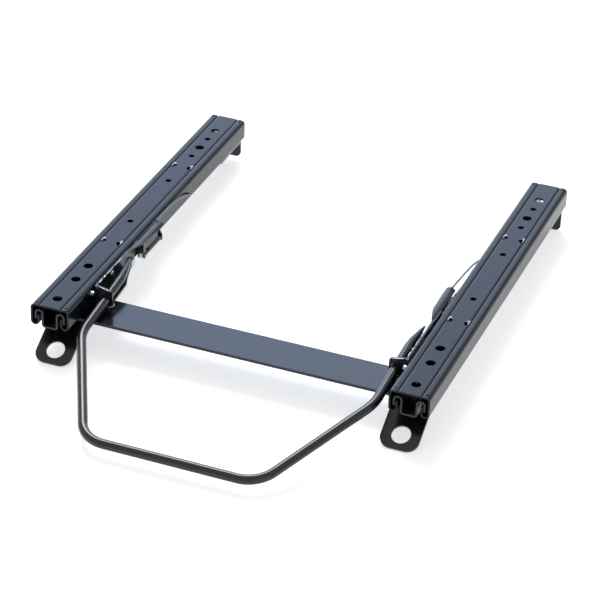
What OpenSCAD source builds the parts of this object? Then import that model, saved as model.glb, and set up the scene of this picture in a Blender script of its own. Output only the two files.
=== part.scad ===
// Seat slide rail: a pair of slide rails joined by a cross strip, with a bent pull bar
// that works a release lever and a toothed lock on the inner wall of each rail.
// Millimetres. Pieces are laid out with Y = 0 at the front end of the rails and Z = 0 at
// their top face, then set down with the origin under the middle of the whole assembly.

/* [Rails] */
// Length of the rails
rail_len = 415; // [405:1:440]
// Distance between the two rail centre lines
rail_spacing = 345; // [335:1:400]
// Outer width of an upper rail
upper_w = 38; // [38:0.5:42]
// Height of an upper rail, from its top face to its rolled lower edge
upper_h = 21.8; // [21.6:0.2:24]
// Thickness of the rail sheet
rail_t = 1.8; // [1.6:0.1:1.9]
// Outer bend radius of an upper rail
upper_bend_r = 4.2; // [4.1:0.1:4.4]
// Outer bend radius at the floor of a lower rail
lower_bend_r = 3.2; // [2.4:0.1:3.2]
// Gap between the lip of an upper rail and the web of a lower rail
lip_gap = 2.6; // [2.2:0.1:2.8]
// Distance from the rolled edge of an upper rail down to the underside of a lower rail
floor_gap = 1.2; // [1:0.1:2]

/* [Seat holes] */
// Diameter of the seat bolt holes
seat_hole_d = 9; // [8:0.5:10]
// Diameter of the smaller holes
small_hole_d = 6; // [5:0.5:7]
// Distance from the front end to the first seat bolt hole
end_hole_y = 16.5; // [12:0.5:20]
// Distance from the front end to the second seat bolt hole
inner_hole_y = 55; // [45:0.5:60]
// Distance from the front end to the third seat bolt hole
outer_hole_y = 81.5; // [75:0.5:90]
// Hole distance of the short bolt pattern along the rail
short_pattern = 286.5; // [280:0.5:290]
// Hole distance of the long bolt pattern along the rail
long_pattern = 300; // [298:0.5:304]
// Distance from the front end to the first small hole
small_front_y = 175; // [165:0.5:185]
// Distance from the front end to the second small hole
small_mid_y = 264.5; // [255:0.5:275]
// Pitch of the small holes between the rear seat bolt holes
small_pitch = 20; // [18:0.5:21]
// Diameter of the staked dimples at the rail ends
dimple_d = 2.2; // [1.5:0.1:2.6]

/* [Stops] */
// Distance from the front end to the front pair of stop tongues
front_tongue_y = 131.5; // [125:0.5:140]
// Distance from the front end to the rear pair of stop tongues
rear_tongue_y = 296.8; // [290:0.2:305]
// Length of a stop tongue along the rail
tongue_len = 12; // [8:0.5:14]
// Forward travel of the upper rails
travel_front = 75; // [60:1:80]
// Rearward travel of the upper rails
travel_rear = 15; // [8:1:18]

/* [Ball cages] */
// Thickness of a ball cage strip
cage_t = 1.2; // [1:0.1:1.3]
// Length of a ball cage strip
cage_len = 65; // [60:1:75]
// Distance from the front end to the middle of the front cages
front_cage_y = 78; // [74:1:82]
// Distance from the front end to the middle of the rear cages
rear_cage_y = 320; // [314:1:326]

/* [Feet and cross strip] */
// Width of the cross strip
strip_w = 42; // [40:0.5:44]
// Thickness of the cross strip
strip_t = 3; // [2.5:0.1:4]
// Distance from the front end of the rails to the cross strip
strip_y = 28; // [24:0.5:30]
// Distance the cross strip reaches outward past a rail's centre line
strip_reach = 11.5; // [10:0.5:16]
// Thickness of the feet
foot_t = 2.6; // [2.2:0.1:3]
// Width of a front foot's tab
tab_w = 36; // [32:0.5:40]
// Distance of a front foot's hole inboard of the rail's centre line
tab_inset = 5.5; // [2:0.5:7]
// Depth of a front foot's hole below the top face of the rails
tab_drop = 43.5; // [41:0.5:48]
// Slope of a front foot's tab
tab_slope = 31; // [28:1:34]
// Length of a front foot's tab past the centre of its hole
tab_end = 14.7; // [13.5:0.1:18]
// Corner radius of a front foot's tab
tab_corner_r = 11; // [6:0.5:12]
// Diameter of a front foot's hole
tab_hole_d = 17.5; // [12:0.5:18]
// Width of a rear foot
leg_w = 31.4; // [26:0.2:34]
// Length of a rear foot along the rail
leg_flange_len = 53; // [48:1:60]
// Depth of the left rear foot's lower edge below the top face of the rails
leg_drop_left = 41.3; // [40:0.1:46]
// Depth of the right rear foot's lower edge below the top face of the rails
leg_drop_right = 46.5; // [44:0.5:50]
// Diameter of a rear foot's hole
leg_hole_d = 8.5; // [6.5:0.5:9]
// Depth of a rear foot's hole below the top face of the rails
leg_hole_drop = 32.5; // [32:0.1:33]

/* [Pull bar] */
// Diameter of the pull bar
rod_d = 9; // [8:0.5:9]
// Half length of the pull bar's front run, to the point where its arms would meet it
bar_half = 81.3; // [70:0.1:90]
// Distance of the pull bar's front run before the rails
bar_reach = 121.5; // [110:0.5:130]
// Depth of the pull bar's front run below the top face of the rails
bar_drop = 42.8; // [40:0.1:45]
// Depth of the arm bends below the top face of the rails
elbow_drop = 19; // [18.8:0.1:19.2]
// Depth of the rear ends of the arms below the top face of the rails
rod_end_drop = 8.9; // [8.6:0.1:9.2]
// Distance of the rear ends of the arms behind the front end of the rails
rod_end_y = 86; // [82:0.5:87]
// Centre radius of the arm bends
elbow_r = 50; // [35:1:55]
// Centre radius of the front corners
corner_r = 30; // [20:1:36]

/* [Release levers] */
// Thickness of the lever sheet
lever_t = 2; // [1.6:0.1:2.2]
// Gap between a lever and the wall of its rail
lever_gap = 1.2; // [1:0.1:1.4]
// Distance from the front end of the rails to the front flange of a lever
lever_front_y = 53; // [50:0.5:56]
// Distance from the front end of the rails to the lever pivots
pivot_y = 126; // [125:0.5:127]
// Depth of the lever pivots below the top face of the rails
pivot_drop = 14; // [13.8:0.1:14.2]
// Diameter of a lever pivot
pivot_d = 6; // [5:0.2:6.4]
// Width of a lever's rear channel, from the wall
channel_w = 11.5; // [11.3:0.1:12]
// Diameter of a return spring's wire
spring_d = 1.8; // [1.4:0.1:2]

/* [Locks] */
// Distance of a lock hinge inboard of the rail wall
lock_axis_u = 4.5; // [4.4:0.1:4.6]
// Depth of a lock hinge below the top face of the rails
lock_axis_drop = 19; // [18.8:0.1:19.4]
// Diameter of a lock hinge pin
lock_pin_d = 3; // [2.4:0.1:3.2]
// Pitch of the lock teeth
tooth_pitch = 10; // [9:0.5:10]
// Width of a lock tooth
tooth_w = 4; // [3:0.2:4.6]

/* [Hidden] */

$fn = 48;
LEFT = -1;
RIGHT = 1;
// Length by which a cutting tool runs past a face
over = 1;
// Radial clearance of pins in their holes
pin_fit = 0.05;

// Upper rail section
half_w = upper_w / 2;
upper_bend_in = upper_bend_r - rail_t;
race_x = half_w - upper_bend_r;
race_top_z = -upper_bend_r;
race_bottom_z = upper_bend_r - upper_h;
lip_in_x = race_x - upper_bend_r;
wall_in_x = half_w - rail_t;
wall_x = rail_spacing / 2 - half_w;
groove_x = 10.9;
groove_half_w = 2.4;
groove_shoulder_r = 3.4;
groove_depth = 1.2;
dimple_x = race_x - 0.2;
dimple_end = 4;
dimple_depth = 0.7;

// Balls and their cages
race_gap = 0.4;
ball_r = upper_bend_in - race_gap;
cage_gap = 0.5;
cage_x = wall_in_x - cage_gap - cage_t;
cage_end_gap = 1;
cage_window_r = ball_r + 0.25;
ball_step = 25;
balls_per_row = 3;

// Lower rail section
leg_out_x = cage_x - cage_gap;
web_out_x = lip_in_x - lip_gap;
web_in_x = web_out_x - rail_t;
hook_r = (leg_out_x - web_in_x) / 2;
hook_in_r = hook_r - rail_t;
hook_x = (leg_out_x + web_in_x) / 2;
hook_ball_gap = 0.2;
hook_reach = hook_r + ball_r + hook_ball_gap;
hook_z = race_top_z - sqrt(pow(hook_reach, 2) - pow(race_x - hook_x, 2));
leg_end_z = race_bottom_z + ball_r + 0.3;
lip_top_z = hook_z - 1.2;
lower_z = -upper_h - floor_gap;
lower_bend_in = lower_bend_r - rail_t;

// Stops: tongues of the upper rail meet lugs of the lower rail at the ends of the travel
tongue_x = 9.6;
tongue_t = 1;
tongue_tip = 4.8;
tongue_z = -4.2;
tongue_root_z = -rail_t / 2;
lug_gap = 0.3;
lug_len = 2.5;
lug_w = 2;
lug_root_z = hook_z + (hook_r + hook_in_r) / 2 - 0.2;
lug_top_z = hook_z + hook_r + 1.7;
front_lug_y = rear_tongue_y - tongue_len / 2 - travel_front - lug_gap - lug_len;
rear_lug_y = front_tongue_y + tongue_len / 2 + travel_rear + lug_gap;

// Feet, strip and rivets
strip_z = lower_z - strip_t;
foot_z = strip_z - foot_t;
foot_rear_y = strip_y + strip_w;
tab_x = rail_spacing / 2 - tab_inset;
wing_reach = 35;
foot_in_x = tab_x - wing_reach;
foot_out_x = tab_x + tab_w / 2;
foot_bend_y = (foot_z + tab_drop + foot_t * cos(tab_slope)) / tan(tab_slope) + foot_t * sin(tab_slope);
tab_throat = foot_bend_y / cos(tab_slope);
wing_start = 2;
wing_run = 8;
leg_flange_z = lower_z - foot_t;
leg_corner_r = 5;
floor_h = tab_drop + tab_end * sin(tab_slope) + foot_t * cos(tab_slope);
rivet_d = 6;
rivet_head_d = 9;
rivet_head_h = 2.4;
front_rivets_y = [strip_y + 11, strip_y + 31];
rear_rivet_end = 18;
rear_rivet_pitch = 22;
rear_rivets_y = [rail_len - rear_rivet_end - rear_rivet_pitch, rail_len - rear_rivet_end];
strip_rivet_x = foot_in_x + 9;
strip_rivet_y = strip_y + strip_w - 9;
strip_rivet_d = 5;

// Pull bar route, from one rear end to the other, in distance from the rail wall
rod_r = rod_d / 2;
rod_end_u = 11.7;
// Tapered tips of the pull bar: shift to the wall, distance behind rod_end_y, rise, share of the radius
rod_tip = [[4.1, 31.5, 5.3, 0.13], [3.4, 27, 4.5, 0.36], [2.1, 19, 3.1, 0.6], [0.8, 10, 1.7, 0.84]];
elbow_u = 12.7;
elbow_y = -0.2;
rod_sides = 24;
elbow_steps = 6;
corner_steps = 10;
bar_front_y = -bar_reach - rod_r;
mid_y = (rail_len + bar_front_y) / 2;
rod_rise = (elbow_drop - rod_end_drop) / (rod_end_y - elbow_y);
rod_drift = (elbow_u - rod_end_u) / (rod_end_y - elbow_y);

// Release lever
lever_out_u = lever_gap + lever_t;
weld_gap = 0.15;
seat_drop = (rod_r + weld_gap) * sqrt(1 + rod_rise * rod_rise);
trough_end_y = rod_end_y + 31;
trough_u = rod_end_u + rod_r + 1;
trough_skew = 7;
trough_floor_z = rod_z(trough_end_y) - seat_drop - lever_t;
flange_u = trough_u + 1.6;
bore_gap = 0.3;
channel_top = 0.5;
channel_len = 60;
channel_end_y = pivot_y + channel_len;
channel_drop = 2.4;
arch_r = (channel_w - lever_gap + 0.5) / 2;
arch_t = 1.8;
arch_u = (channel_w + lever_gap) / 2;
arch_z = channel_top - arch_r;
nose_y = pivot_y + 17;
nose_len = 6;
nose_end_y = nose_y + nose_len;
nose_t = 1.2 * lever_t;
nose_drop = 13;
nose_u = 9.3;
brace_len = 22;
brace_h = 10;
brace_t = 1.4;
brace_gap = 0.4;
boss_d = 10;
boss_h = 2.4;
collar_gap = 0.3;
collar_d = pivot_d + 3;
collar_h = lever_gap - collar_gap;
pivot_head_d = 8;
pivot_head_h = 1.5;
pivot_head_u = lever_out_u + boss_h + collar_gap;
lever_rivet_d = 3;
lever_rivet_y = lever_front_y + 33;
lever_rivet_drop = 5;
lever_rivet_head_d = 6;
lever_rivet_head_h = 1.4;
stop_y = lever_front_y - 5.4;
stop_drop = 6.4;
stop_d = 3;
stop_head_d = 5;
stop_head_h = 3;
// Outer edge of a lever's trough behind the bar, in distance from the rail wall and along the rail
trough_edge = [
  [trough_u, rod_end_y + 1.5], [trough_u - 3.2, rod_end_y + 11], [trough_u - 5, rod_end_y + 18],
  [trough_u - 8, trough_end_y]
];

// Lock hinge, ears and teeth
lock_r = lock_pin_d / 2 + 1.5;
ear_t = 2;
ear_foot_len = 7;
ear_front_y = nose_end_y + 1;
lock_span = 39;
ear_rear_y = ear_front_y + lock_span;
ear_u = lock_axis_u + lock_r;
ear_foot_t = 1.8;
ear_foot_drop = lock_axis_drop - lock_r - 0.5;
ear_top_drop = 6;
knuckle_gap = 1;
knuckle_y = ear_front_y + ear_t + knuckle_gap;
knuckle_len = ear_rear_y - ear_front_y - ear_t - 2 * knuckle_gap;
lock_mid_y = (ear_front_y + ear_rear_y + ear_t) / 2;
lock_blade_len = 28;
lock_blade_t = 2;
lock_blade_u = lock_axis_u - lock_blade_t / 2;
lock_blade_drop = 8.6;
teeth = [-1, 0, 1];
tooth_drop = 9;
tooth_h = 3;
tooth_tip_gap = 0.4;
tooth_u = leg_out_x + tooth_tip_gap - half_w;
window_gap = 1;
window_top_drop = 5.6;
window_h = 7.4;
tail_gap = 1;
tail_t = 2.6;
tail_len = 4;
tail_in_u = ear_u + 0.5;
tail_u = tail_in_u + 2;
notch_w = tooth_w + 1;
notch_h = 4;
notch_count = 8;

// Return spring route, in distance from the rail wall
spring_r = spring_d / 2;
spring_sides = 10;
spring_u = lever_out_u - 0.6;
spring_run = 84;
spring_hook_y = channel_end_y + spring_run;
spring_hook_drop = 13;
spring_hook_r = 2.2;
spring_hook_steps = 5;
spring_rest_gap = 0.4;
spring_start_u = arch_u - 2;
spring_start_z = arch_z + sqrt(pow(arch_r + spring_r + spring_rest_gap, 2) - pow(spring_start_u - arch_u, 2));
spring_fall = [spring_u, channel_end_y + 0.81 * spring_run, -7.4];
spring_hook = [spring_u, spring_hook_y, -spring_hook_drop];
spring_end = [-rail_t, spring_hook_y, -spring_hook_drop];

paint = "#24272b";
dark_paint = "#1b1d20";
zinc = "#8e9296";
ball_steel = "#b9bdc2";

function unit(v) = v / norm(v);
function rod_z(y) = -rod_end_drop - (rod_end_y - y) * rod_rise;
function rod_u(y) = rod_end_u + (rod_end_y - y) * rod_drift;

// Points of a round bend of radius r at q, between the directions to p and to w
function bend(p, q, w, r, steps) =
  let (a = unit(p - q), b = unit(w - q), half = acos(a * b) / 2,
       centre = q + unit(a + b) * r / sin(half),
       first = unit(q + a * r / tan(half) - centre))
  [for (i = [0 : steps]) let (turn = i / steps * (180 - 2 * half))
    centre + r * (first * cos(turn) - a * sin(turn))];

// Return spring wire, from its rest on the lever to its end in the rail wall
function spring_route() = concat(
  [[spring_start_u, channel_end_y - 2, spring_start_z],
   [spring_u + 0.3, channel_end_y + 0.4 * spring_run, -0.6],
   [spring_u, channel_end_y + 0.62 * spring_run, -3.2], spring_fall],
  bend(spring_fall, spring_hook, spring_end, spring_hook_r, spring_hook_steps), [spring_end]);

// Direction of a route at its point i
function heading(route, i) =
  unit(route[min(i + 1, len(route) - 1)] - route[max(i - 1, 0)]);

// Ring of points around a route's point i, square to the route
function ring(route, i, r, sides, side_hint) =
  let (t = heading(route, i), n = unit(cross(t, side_hint)), b = cross(n, t))
  [for (k = [0 : sides - 1]) route[i] + r * (n * cos(360 * k / sides) + b * sin(360 * k / sides))];

// Round bar along a route, with a radius for each of its points
module swept_bar(route, radii, sides, side_hint) {
  last = len(route) - 1;
  points = [for (i = [0 : last]) each ring(route, i, radii[i], sides, side_hint)];
  walls = [for (i = [0 : last - 1], k = [0 : sides - 1])
    let (a = i * sides + k, b = i * sides + (k + 1) % sides)
    each [[a, b, b + sides], [a, b + sides, a + sides]]];
  start_cap = [for (k = [sides - 1 : -1 : 0]) k];
  end_cap = [for (k = [0 : sides - 1]) last * sides + k];
  polyhedron(points, concat(walls, [start_cap, end_cap]));
}

// Places everything with the origin under the middle of the assembly
module placed() { translate([0, -mid_y, floor_h]) children(); }

// Puts a shape on the centre line of one rail
module on_rail(side) { placed() translate([side * rail_spacing / 2, 0, 0]) children(); }

// Puts a shape on the inner wall of one rail, with X as the distance from that wall
module on_wall(side) {
  placed() translate([side * wall_x, 0, 0]) {
    if (side == RIGHT) mirror([1, 0, 0]) children();
    else children();
  }
}

// Puts a shape made for the right side on either side
module on_side(side) {
  placed() {
    if (side == RIGHT) children();
    else mirror([1, 0, 0]) children();
  }
}

// Outline in X and Z, drawn out along Y
module along_y(y, length) { translate([0, y + length, 0]) rotate([90, 0, 0]) linear_extrude(length) children(); }

// Outline in Y and Z, drawn out along X
module along_x(x, length) { translate([x, 0, 0]) rotate([90, 0, 90]) linear_extrude(length) children(); }

// Round bar or bore along X
module bar_x(x, length, y, z, d) { translate([x, y, z]) rotate([0, 90, 0]) cylinder(d = d, h = length); }

// Round bar or bore along Y
module bar_y(y, length, x, z, d) { translate([x, y, z]) rotate([-90, 0, 0]) cylinder(d = d, h = length); }

// Round bar or bore along Z
module bar_z(z, length, x, y, d) { translate([x, y, z]) cylinder(d = d, h = length); }

// Rectangle between two corners
module box_2d(a, b) { translate(a) square(b - a); }

// Solid outline of an upper rail, with nothing rolled in yet
module upper_outline() {
  box_2d([-race_x, race_top_z], [race_x, 0]);
  for (s = [LEFT, RIGHT]) {
    translate([s * race_x, race_top_z]) circle(upper_bend_r);
    translate([s * race_x, race_bottom_z]) circle(upper_bend_r);
    translate([s * race_x, 0]) box_2d([-upper_bend_r, race_bottom_z], [upper_bend_r, race_top_z]);
  }
}

// Space inside an upper rail: the ball races, their pockets and the middle
module upper_hollow() {
  box_2d([-race_x, lip_top_z], [race_x, -rail_t]);
  box_2d([-wall_in_x, lip_top_z], [wall_in_x, race_top_z]);
  for (s = [LEFT, RIGHT]) {
    translate([s * race_x, race_top_z]) circle(upper_bend_in);
    translate([s * race_x, race_bottom_z]) circle(upper_bend_in);
    translate([s * race_x, 0]) box_2d([-upper_bend_in, race_bottom_z], [upper_bend_in, race_top_z]);
  }
}

// Pressed groove in the top of an upper rail: two round shoulders that meet at its bottom
module groove_2d() {
  difference() {
    box_2d([-groove_half_w, -groove_depth], [groove_half_w, over]);
    for (s = [LEFT, RIGHT]) translate([s * groove_half_w, -groove_shoulder_r]) circle(groove_shoulder_r);
  }
}

module upper_section() {
  difference() {
    upper_outline();
    upper_hollow();
    for (s = [LEFT, RIGHT]) translate([s * groove_x, 0]) groove_2d();
    box_2d([-lip_in_x, -upper_h - over], [lip_in_x, lip_top_z]);
  }
}

// Solid outline of a lower rail with both hooks filled
module lower_outline() {
  box_2d([-web_out_x, lower_z + lower_bend_r], [web_out_x, hook_z]);
  box_2d([lower_bend_r - web_out_x, lower_z], [web_out_x - lower_bend_r, lower_z + lower_bend_r]);
  for (s = [LEFT, RIGHT]) {
    translate([s * (web_out_x - lower_bend_r), lower_z + lower_bend_r]) circle(lower_bend_r);
    translate([s * hook_x, hook_z]) circle(hook_r);
    translate([s * hook_x, 0]) box_2d([-hook_r, leg_end_z], [hook_r, hook_z]);
  }
}

// Space inside a lower rail and inside its hooks
module lower_hollow() {
  floor_in_x = web_in_x - lower_bend_in;
  floor_in_z = lower_z + lower_bend_r;
  box_2d([-web_in_x, floor_in_z], [web_in_x, hook_z + hook_r + over]);
  box_2d([-floor_in_x, lower_z + rail_t], [floor_in_x, floor_in_z]);
  for (s = [LEFT, RIGHT]) {
    translate([s * floor_in_x, floor_in_z]) circle(lower_bend_in);
    translate([s * hook_x, hook_z]) circle(hook_in_r);
    translate([s * hook_x, 0]) box_2d([-hook_in_r, leg_end_z - over], [hook_in_r, hook_z]);
  }
}

module lower_section() {
  difference() {
    lower_outline();
    lower_hollow();
  }
}

module lower_rail(side) {
  color(dark_paint) on_rail(side) difference() {
    union() {
      along_y(0, rail_len) lower_section();
      for (s = [LEFT, RIGHT], y = [front_lug_y, rear_lug_y])
        translate([s * (hook_x - lug_w / 2) - lug_w / 2, y, lug_root_z])
          cube([lug_w, lug_len, lug_top_z - lug_root_z]);
    }
    for (y = concat(front_rivets_y, rear_rivets_y))
      bar_z(lower_z - over, rail_t + 2 * over, 0, y, rivet_d + 2 * pin_fit);
    // Lock notches in the leg that faces the lock
    mirror([side == LEFT ? 1 : 0, 0, 0]) for (i = [0 : notch_count - 1])
      translate([-leg_out_x - over, lock_mid_y + (i - notch_count + 2) * tooth_pitch - notch_w / 2,
                 leg_end_z - over])
        cube([rail_t + 1.5 * over, notch_w, notch_h + over]);
  }
}

module cross_strip() {
  strip_half = rail_spacing / 2 + strip_reach;
  color(paint) placed() difference() {
    translate([-strip_half, strip_y, strip_z]) cube([2 * strip_half, strip_w, strip_t]);
    for (s = [LEFT, RIGHT]) {
      for (y = front_rivets_y)
        bar_z(strip_z - over, strip_t + 2 * over, s * rail_spacing / 2, y, rivet_d + 2 * pin_fit);
      bar_z(strip_z - over, strip_t + 2 * over, s * strip_rivet_x, strip_rivet_y,
            strip_rivet_d + 2 * pin_fit);
    }
  }
}

// Side view of a front foot: flange under the cross strip, round bend, sloping tab
module front_foot_profile() {
  normal = [-sin(tab_slope), cos(tab_slope)];
  root = [foot_bend_y, foot_z];
  tip = [-tab_end * cos(tab_slope), -tab_drop - tab_end * sin(tab_slope)];
  bend_steps = 8;
  polygon(concat(
    [[foot_rear_y, foot_z], [foot_rear_y, foot_z + foot_t]],
    [for (i = [0 : bend_steps]) let (turn = tab_slope * i / bend_steps)
      root + foot_t * [-sin(turn), cos(turn)]],
    [tip, tip - foot_t * normal, root]));
}

// Face view of a front foot, X across and Y along the slope from the hole
module front_foot_outline() {
  in_x = tab_x - tab_w / 2;
  round_y = tab_corner_r - tab_end;
  far_y = 3 * foot_rear_y;
  polygon([[in_x, round_y], [foot_out_x, round_y], [foot_out_x, far_y], [foot_in_x, far_y],
           [foot_in_x, tab_throat + wing_start + wing_run], [in_x, tab_throat + wing_start]]);
  box_2d([in_x + tab_corner_r, -tab_end], [foot_out_x - tab_corner_r, tab_throat]);
  for (x = [in_x + tab_corner_r, foot_out_x - tab_corner_r]) translate([x, round_y]) circle(tab_corner_r);
}

module front_foot(side) {
  color(dark_paint) on_side(side) difference() {
    intersection() {
      along_x(foot_in_x - over, foot_out_x - foot_in_x + 2 * over) front_foot_profile();
      translate([0, 0, -tab_drop]) rotate([tab_slope, 0, 0])
        translate([0, 0, -tab_drop]) linear_extrude(2 * tab_drop) front_foot_outline();
    }
    translate([tab_x, 0, -tab_drop]) rotate([tab_slope, 0, 0])
      bar_z(-foot_t - over, foot_t + 2 * over, 0, 0, tab_hole_d);
    for (y = front_rivets_y)
      bar_z(foot_z - over, foot_t + 2 * over, rail_spacing / 2, y, rivet_d + 2 * pin_fit);
    bar_z(foot_z - over, foot_t + 2 * over, strip_rivet_x, strip_rivet_y, strip_rivet_d + 2 * pin_fit);
  }
}

// Face view of a rear foot's leg with rounded lower corners
module leg_outline(leg_drop) {
  half = leg_w / 2;
  box_2d([-half, leg_corner_r - leg_drop], [half, lower_z - foot_t]);
  box_2d([leg_corner_r - half, -leg_drop], [half - leg_corner_r, leg_corner_r - leg_drop]);
  for (s = [LEFT, RIGHT])
    translate([s * (half - leg_corner_r), leg_corner_r - leg_drop]) circle(leg_corner_r);
}

module rear_foot(side) {
  color(dark_paint) on_rail(side) difference() {
    union() {
      translate([-leg_w / 2, rail_len - leg_flange_len, leg_flange_z])
        cube([leg_w, leg_flange_len - foot_t, foot_t]);
      bar_x(-leg_w / 2, leg_w, rail_len - foot_t, leg_flange_z, 2 * foot_t);
      along_y(rail_len - foot_t, foot_t) leg_outline(side == LEFT ? leg_drop_left : leg_drop_right);
    }
    // The inner side of the bend is sharp
    translate([-leg_w / 2 - over, rail_len - 3 * foot_t, leg_flange_z - 2 * foot_t])
      cube([leg_w + 2 * over, 2 * foot_t, 2 * foot_t]);
    for (y = rear_rivets_y) bar_z(leg_flange_z - over, foot_t + 2 * over, 0, y, rivet_d + 2 * pin_fit);
    bar_y(rail_len - foot_t - over, foot_t + 2 * over, 0, -leg_hole_drop, leg_hole_d);
  }
}

// Rivet with a flat head at each end of a grip
module rivet(x, y, top_z, bottom_z, d, head_d, head_h) {
  bar_z(bottom_z, top_z - bottom_z, x, y, d);
  bar_z(top_z, head_h, x, y, head_d);
  bar_z(bottom_z - head_h / 2, head_h / 2, x, y, head_d);
}

module rail_rivets() {
  color(dark_paint) placed() for (s = [LEFT, RIGHT]) {
    for (y = front_rivets_y)
      rivet(s * rail_spacing / 2, y, lower_z + rail_t, foot_z, rivet_d, rivet_head_d, rivet_head_h);
    for (y = rear_rivets_y)
      rivet(s * rail_spacing / 2, y, lower_z + rail_t, leg_flange_z, rivet_d, rivet_head_d, rivet_head_h);
  }
}

module strip_rivets() {
  head_h = 1.2;
  color(zinc) placed() for (s = [LEFT, RIGHT])
    rivet(s * strip_rivet_x, strip_rivet_y, lower_z, foot_z, strip_rivet_d, 2 * strip_rivet_d - 1, head_h);
}

// Triangular opening of a stop tongue, on the positive side of the strip
module tongue_opening() {
  linear_extrude(2 * rail_t + 2 * over, center = true)
    polygon([[tongue_x, -tongue_len / 2], [tongue_x, tongue_len / 2], [tongue_tip, 0]]);
}

// Stop tongue bent down at the outer edge of its opening
module tongue() {
  along_x(tongue_x - tongue_t, tongue_t + 0.4)
    polygon([[-tongue_len / 2, tongue_root_z], [-tongue_len / 4, tongue_z],
             [tongue_len / 4, tongue_z], [tongue_len / 2, tongue_root_z]]);
}

module upper_rail(side) {
  rear_inner_y = inner_hole_y + short_pattern;
  rear_outer_y = outer_hole_y + long_pattern;
  color(paint) on_rail(side) difference() {
    union() {
      difference() {
        along_y(0, rail_len) upper_section();
        for (s = [LEFT, RIGHT], y = [front_tongue_y, rear_tongue_y])
          translate([0, y, 0]) mirror([s == LEFT ? 1 : 0, 0, 0]) tongue_opening();
      }
      for (s = [LEFT, RIGHT], y = [front_tongue_y, rear_tongue_y])
        translate([0, y, 0]) mirror([s == LEFT ? 1 : 0, 0, 0]) tongue();
    }
    for (y = [end_hole_y, inner_hole_y, outer_hole_y, rear_inner_y, rear_outer_y])
      bar_z(-rail_t - over, rail_t + 2 * over, 0, y, seat_hole_d);
    for (y = [small_front_y, small_mid_y, rear_inner_y - small_pitch, rear_inner_y + small_pitch])
      bar_z(-rail_t - over, rail_t + 2 * over, 0, y, small_hole_d);
    for (s = [LEFT, RIGHT], y = [dimple_end, rail_len - dimple_end])
      bar_z(-dimple_depth, dimple_depth + over, s * dimple_x, y, dimple_d);
    // Lock windows and the holes for the lever pivot, its stop and the spring in the inner wall
    translate([-side * half_w, 0, 0]) mirror([side == RIGHT ? 1 : 0, 0, 0]) {
      for (k = teeth)
        translate([-rail_t - over, lock_mid_y + k * tooth_pitch - tooth_w / 2 - window_gap,
                   -window_top_drop - window_h])
          cube([rail_t + 2 * over, tooth_w + 2 * window_gap, window_h]);
      bar_x(-rail_t - over, rail_t + 2 * over, pivot_y, -pivot_drop, pivot_d + 2 * pin_fit);
      bar_x(-rail_t - over, rail_t + 2 * over, stop_y, -stop_drop, stop_d + 2 * pin_fit);
      bar_x(-rail_t - over, rail_t + 2 * over, spring_hook_y, -spring_hook_drop, spring_d + 2 * pin_fit);
    }
  }
}

module lever_pivots() {
  color(zinc) for (side = [LEFT, RIGHT]) on_wall(side) {
    bar_x(-rail_t, rail_t, pivot_y, -pivot_drop, pivot_d);
    bar_x(0, collar_h, pivot_y, -pivot_drop, collar_d);
    bar_x(collar_h, pivot_head_u - collar_h, pivot_y, -pivot_drop, pivot_d);
    bar_x(pivot_head_u, pivot_head_h, pivot_y, -pivot_drop, pivot_head_d);
  }
}

// Studs in the rail walls that a lever's front flange comes down in front of
module lever_stops() {
  color(zinc) for (side = [LEFT, RIGHT]) on_wall(side) {
    bar_x(-rail_t, rail_t, stop_y, -stop_drop, stop_d);
    bar_x(0, stop_head_h, stop_y, -stop_drop, stop_head_d);
  }
}

// One lock ear: a foot on the rail wall and a plate that carries the hinge pin
module lock_ear(plate_y) {
  difference() {
    union() {
      translate([0, plate_y, -lock_axis_drop - lock_r])
        cube([ear_u, ear_t, lock_axis_drop + lock_r - ear_top_drop]);
      translate([0, plate_y, -ear_foot_drop])
        cube([ear_foot_t, ear_foot_len, ear_foot_drop - ear_top_drop]);
    }
    // The upper inboard corner slopes back to the wall
    along_y(plate_y - over, ear_t + 2 * over)
      polygon([[ear_foot_t, -ear_top_drop + over], [ear_foot_t, -ear_top_drop],
               [ear_u, -lock_axis_drop + lock_r], [ear_u + over, -lock_axis_drop + lock_r],
               [ear_u + over, -ear_top_drop + over]]);
    bar_y(plate_y - over, ear_t + 2 * over, lock_axis_u, -lock_axis_drop, lock_pin_d + 2 * pin_fit);
  }
}

module lock_ears(side) {
  color(dark_paint) on_wall(side) {
    lock_ear(ear_front_y);
    lock_ear(ear_rear_y);
  }
}

module lock_pins() {
  head_h = 1;
  color(zinc) for (side = [LEFT, RIGHT]) on_wall(side) {
    bar_y(ear_front_y, ear_rear_y + ear_t - ear_front_y, lock_axis_u, -lock_axis_drop, lock_pin_d);
    bar_y(ear_front_y - head_h, head_h, lock_axis_u, -lock_axis_drop, lock_pin_d + 2);
    bar_y(ear_rear_y + ear_t, head_h, lock_axis_u, -lock_axis_drop, lock_pin_d + 2);
  }
}

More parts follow.
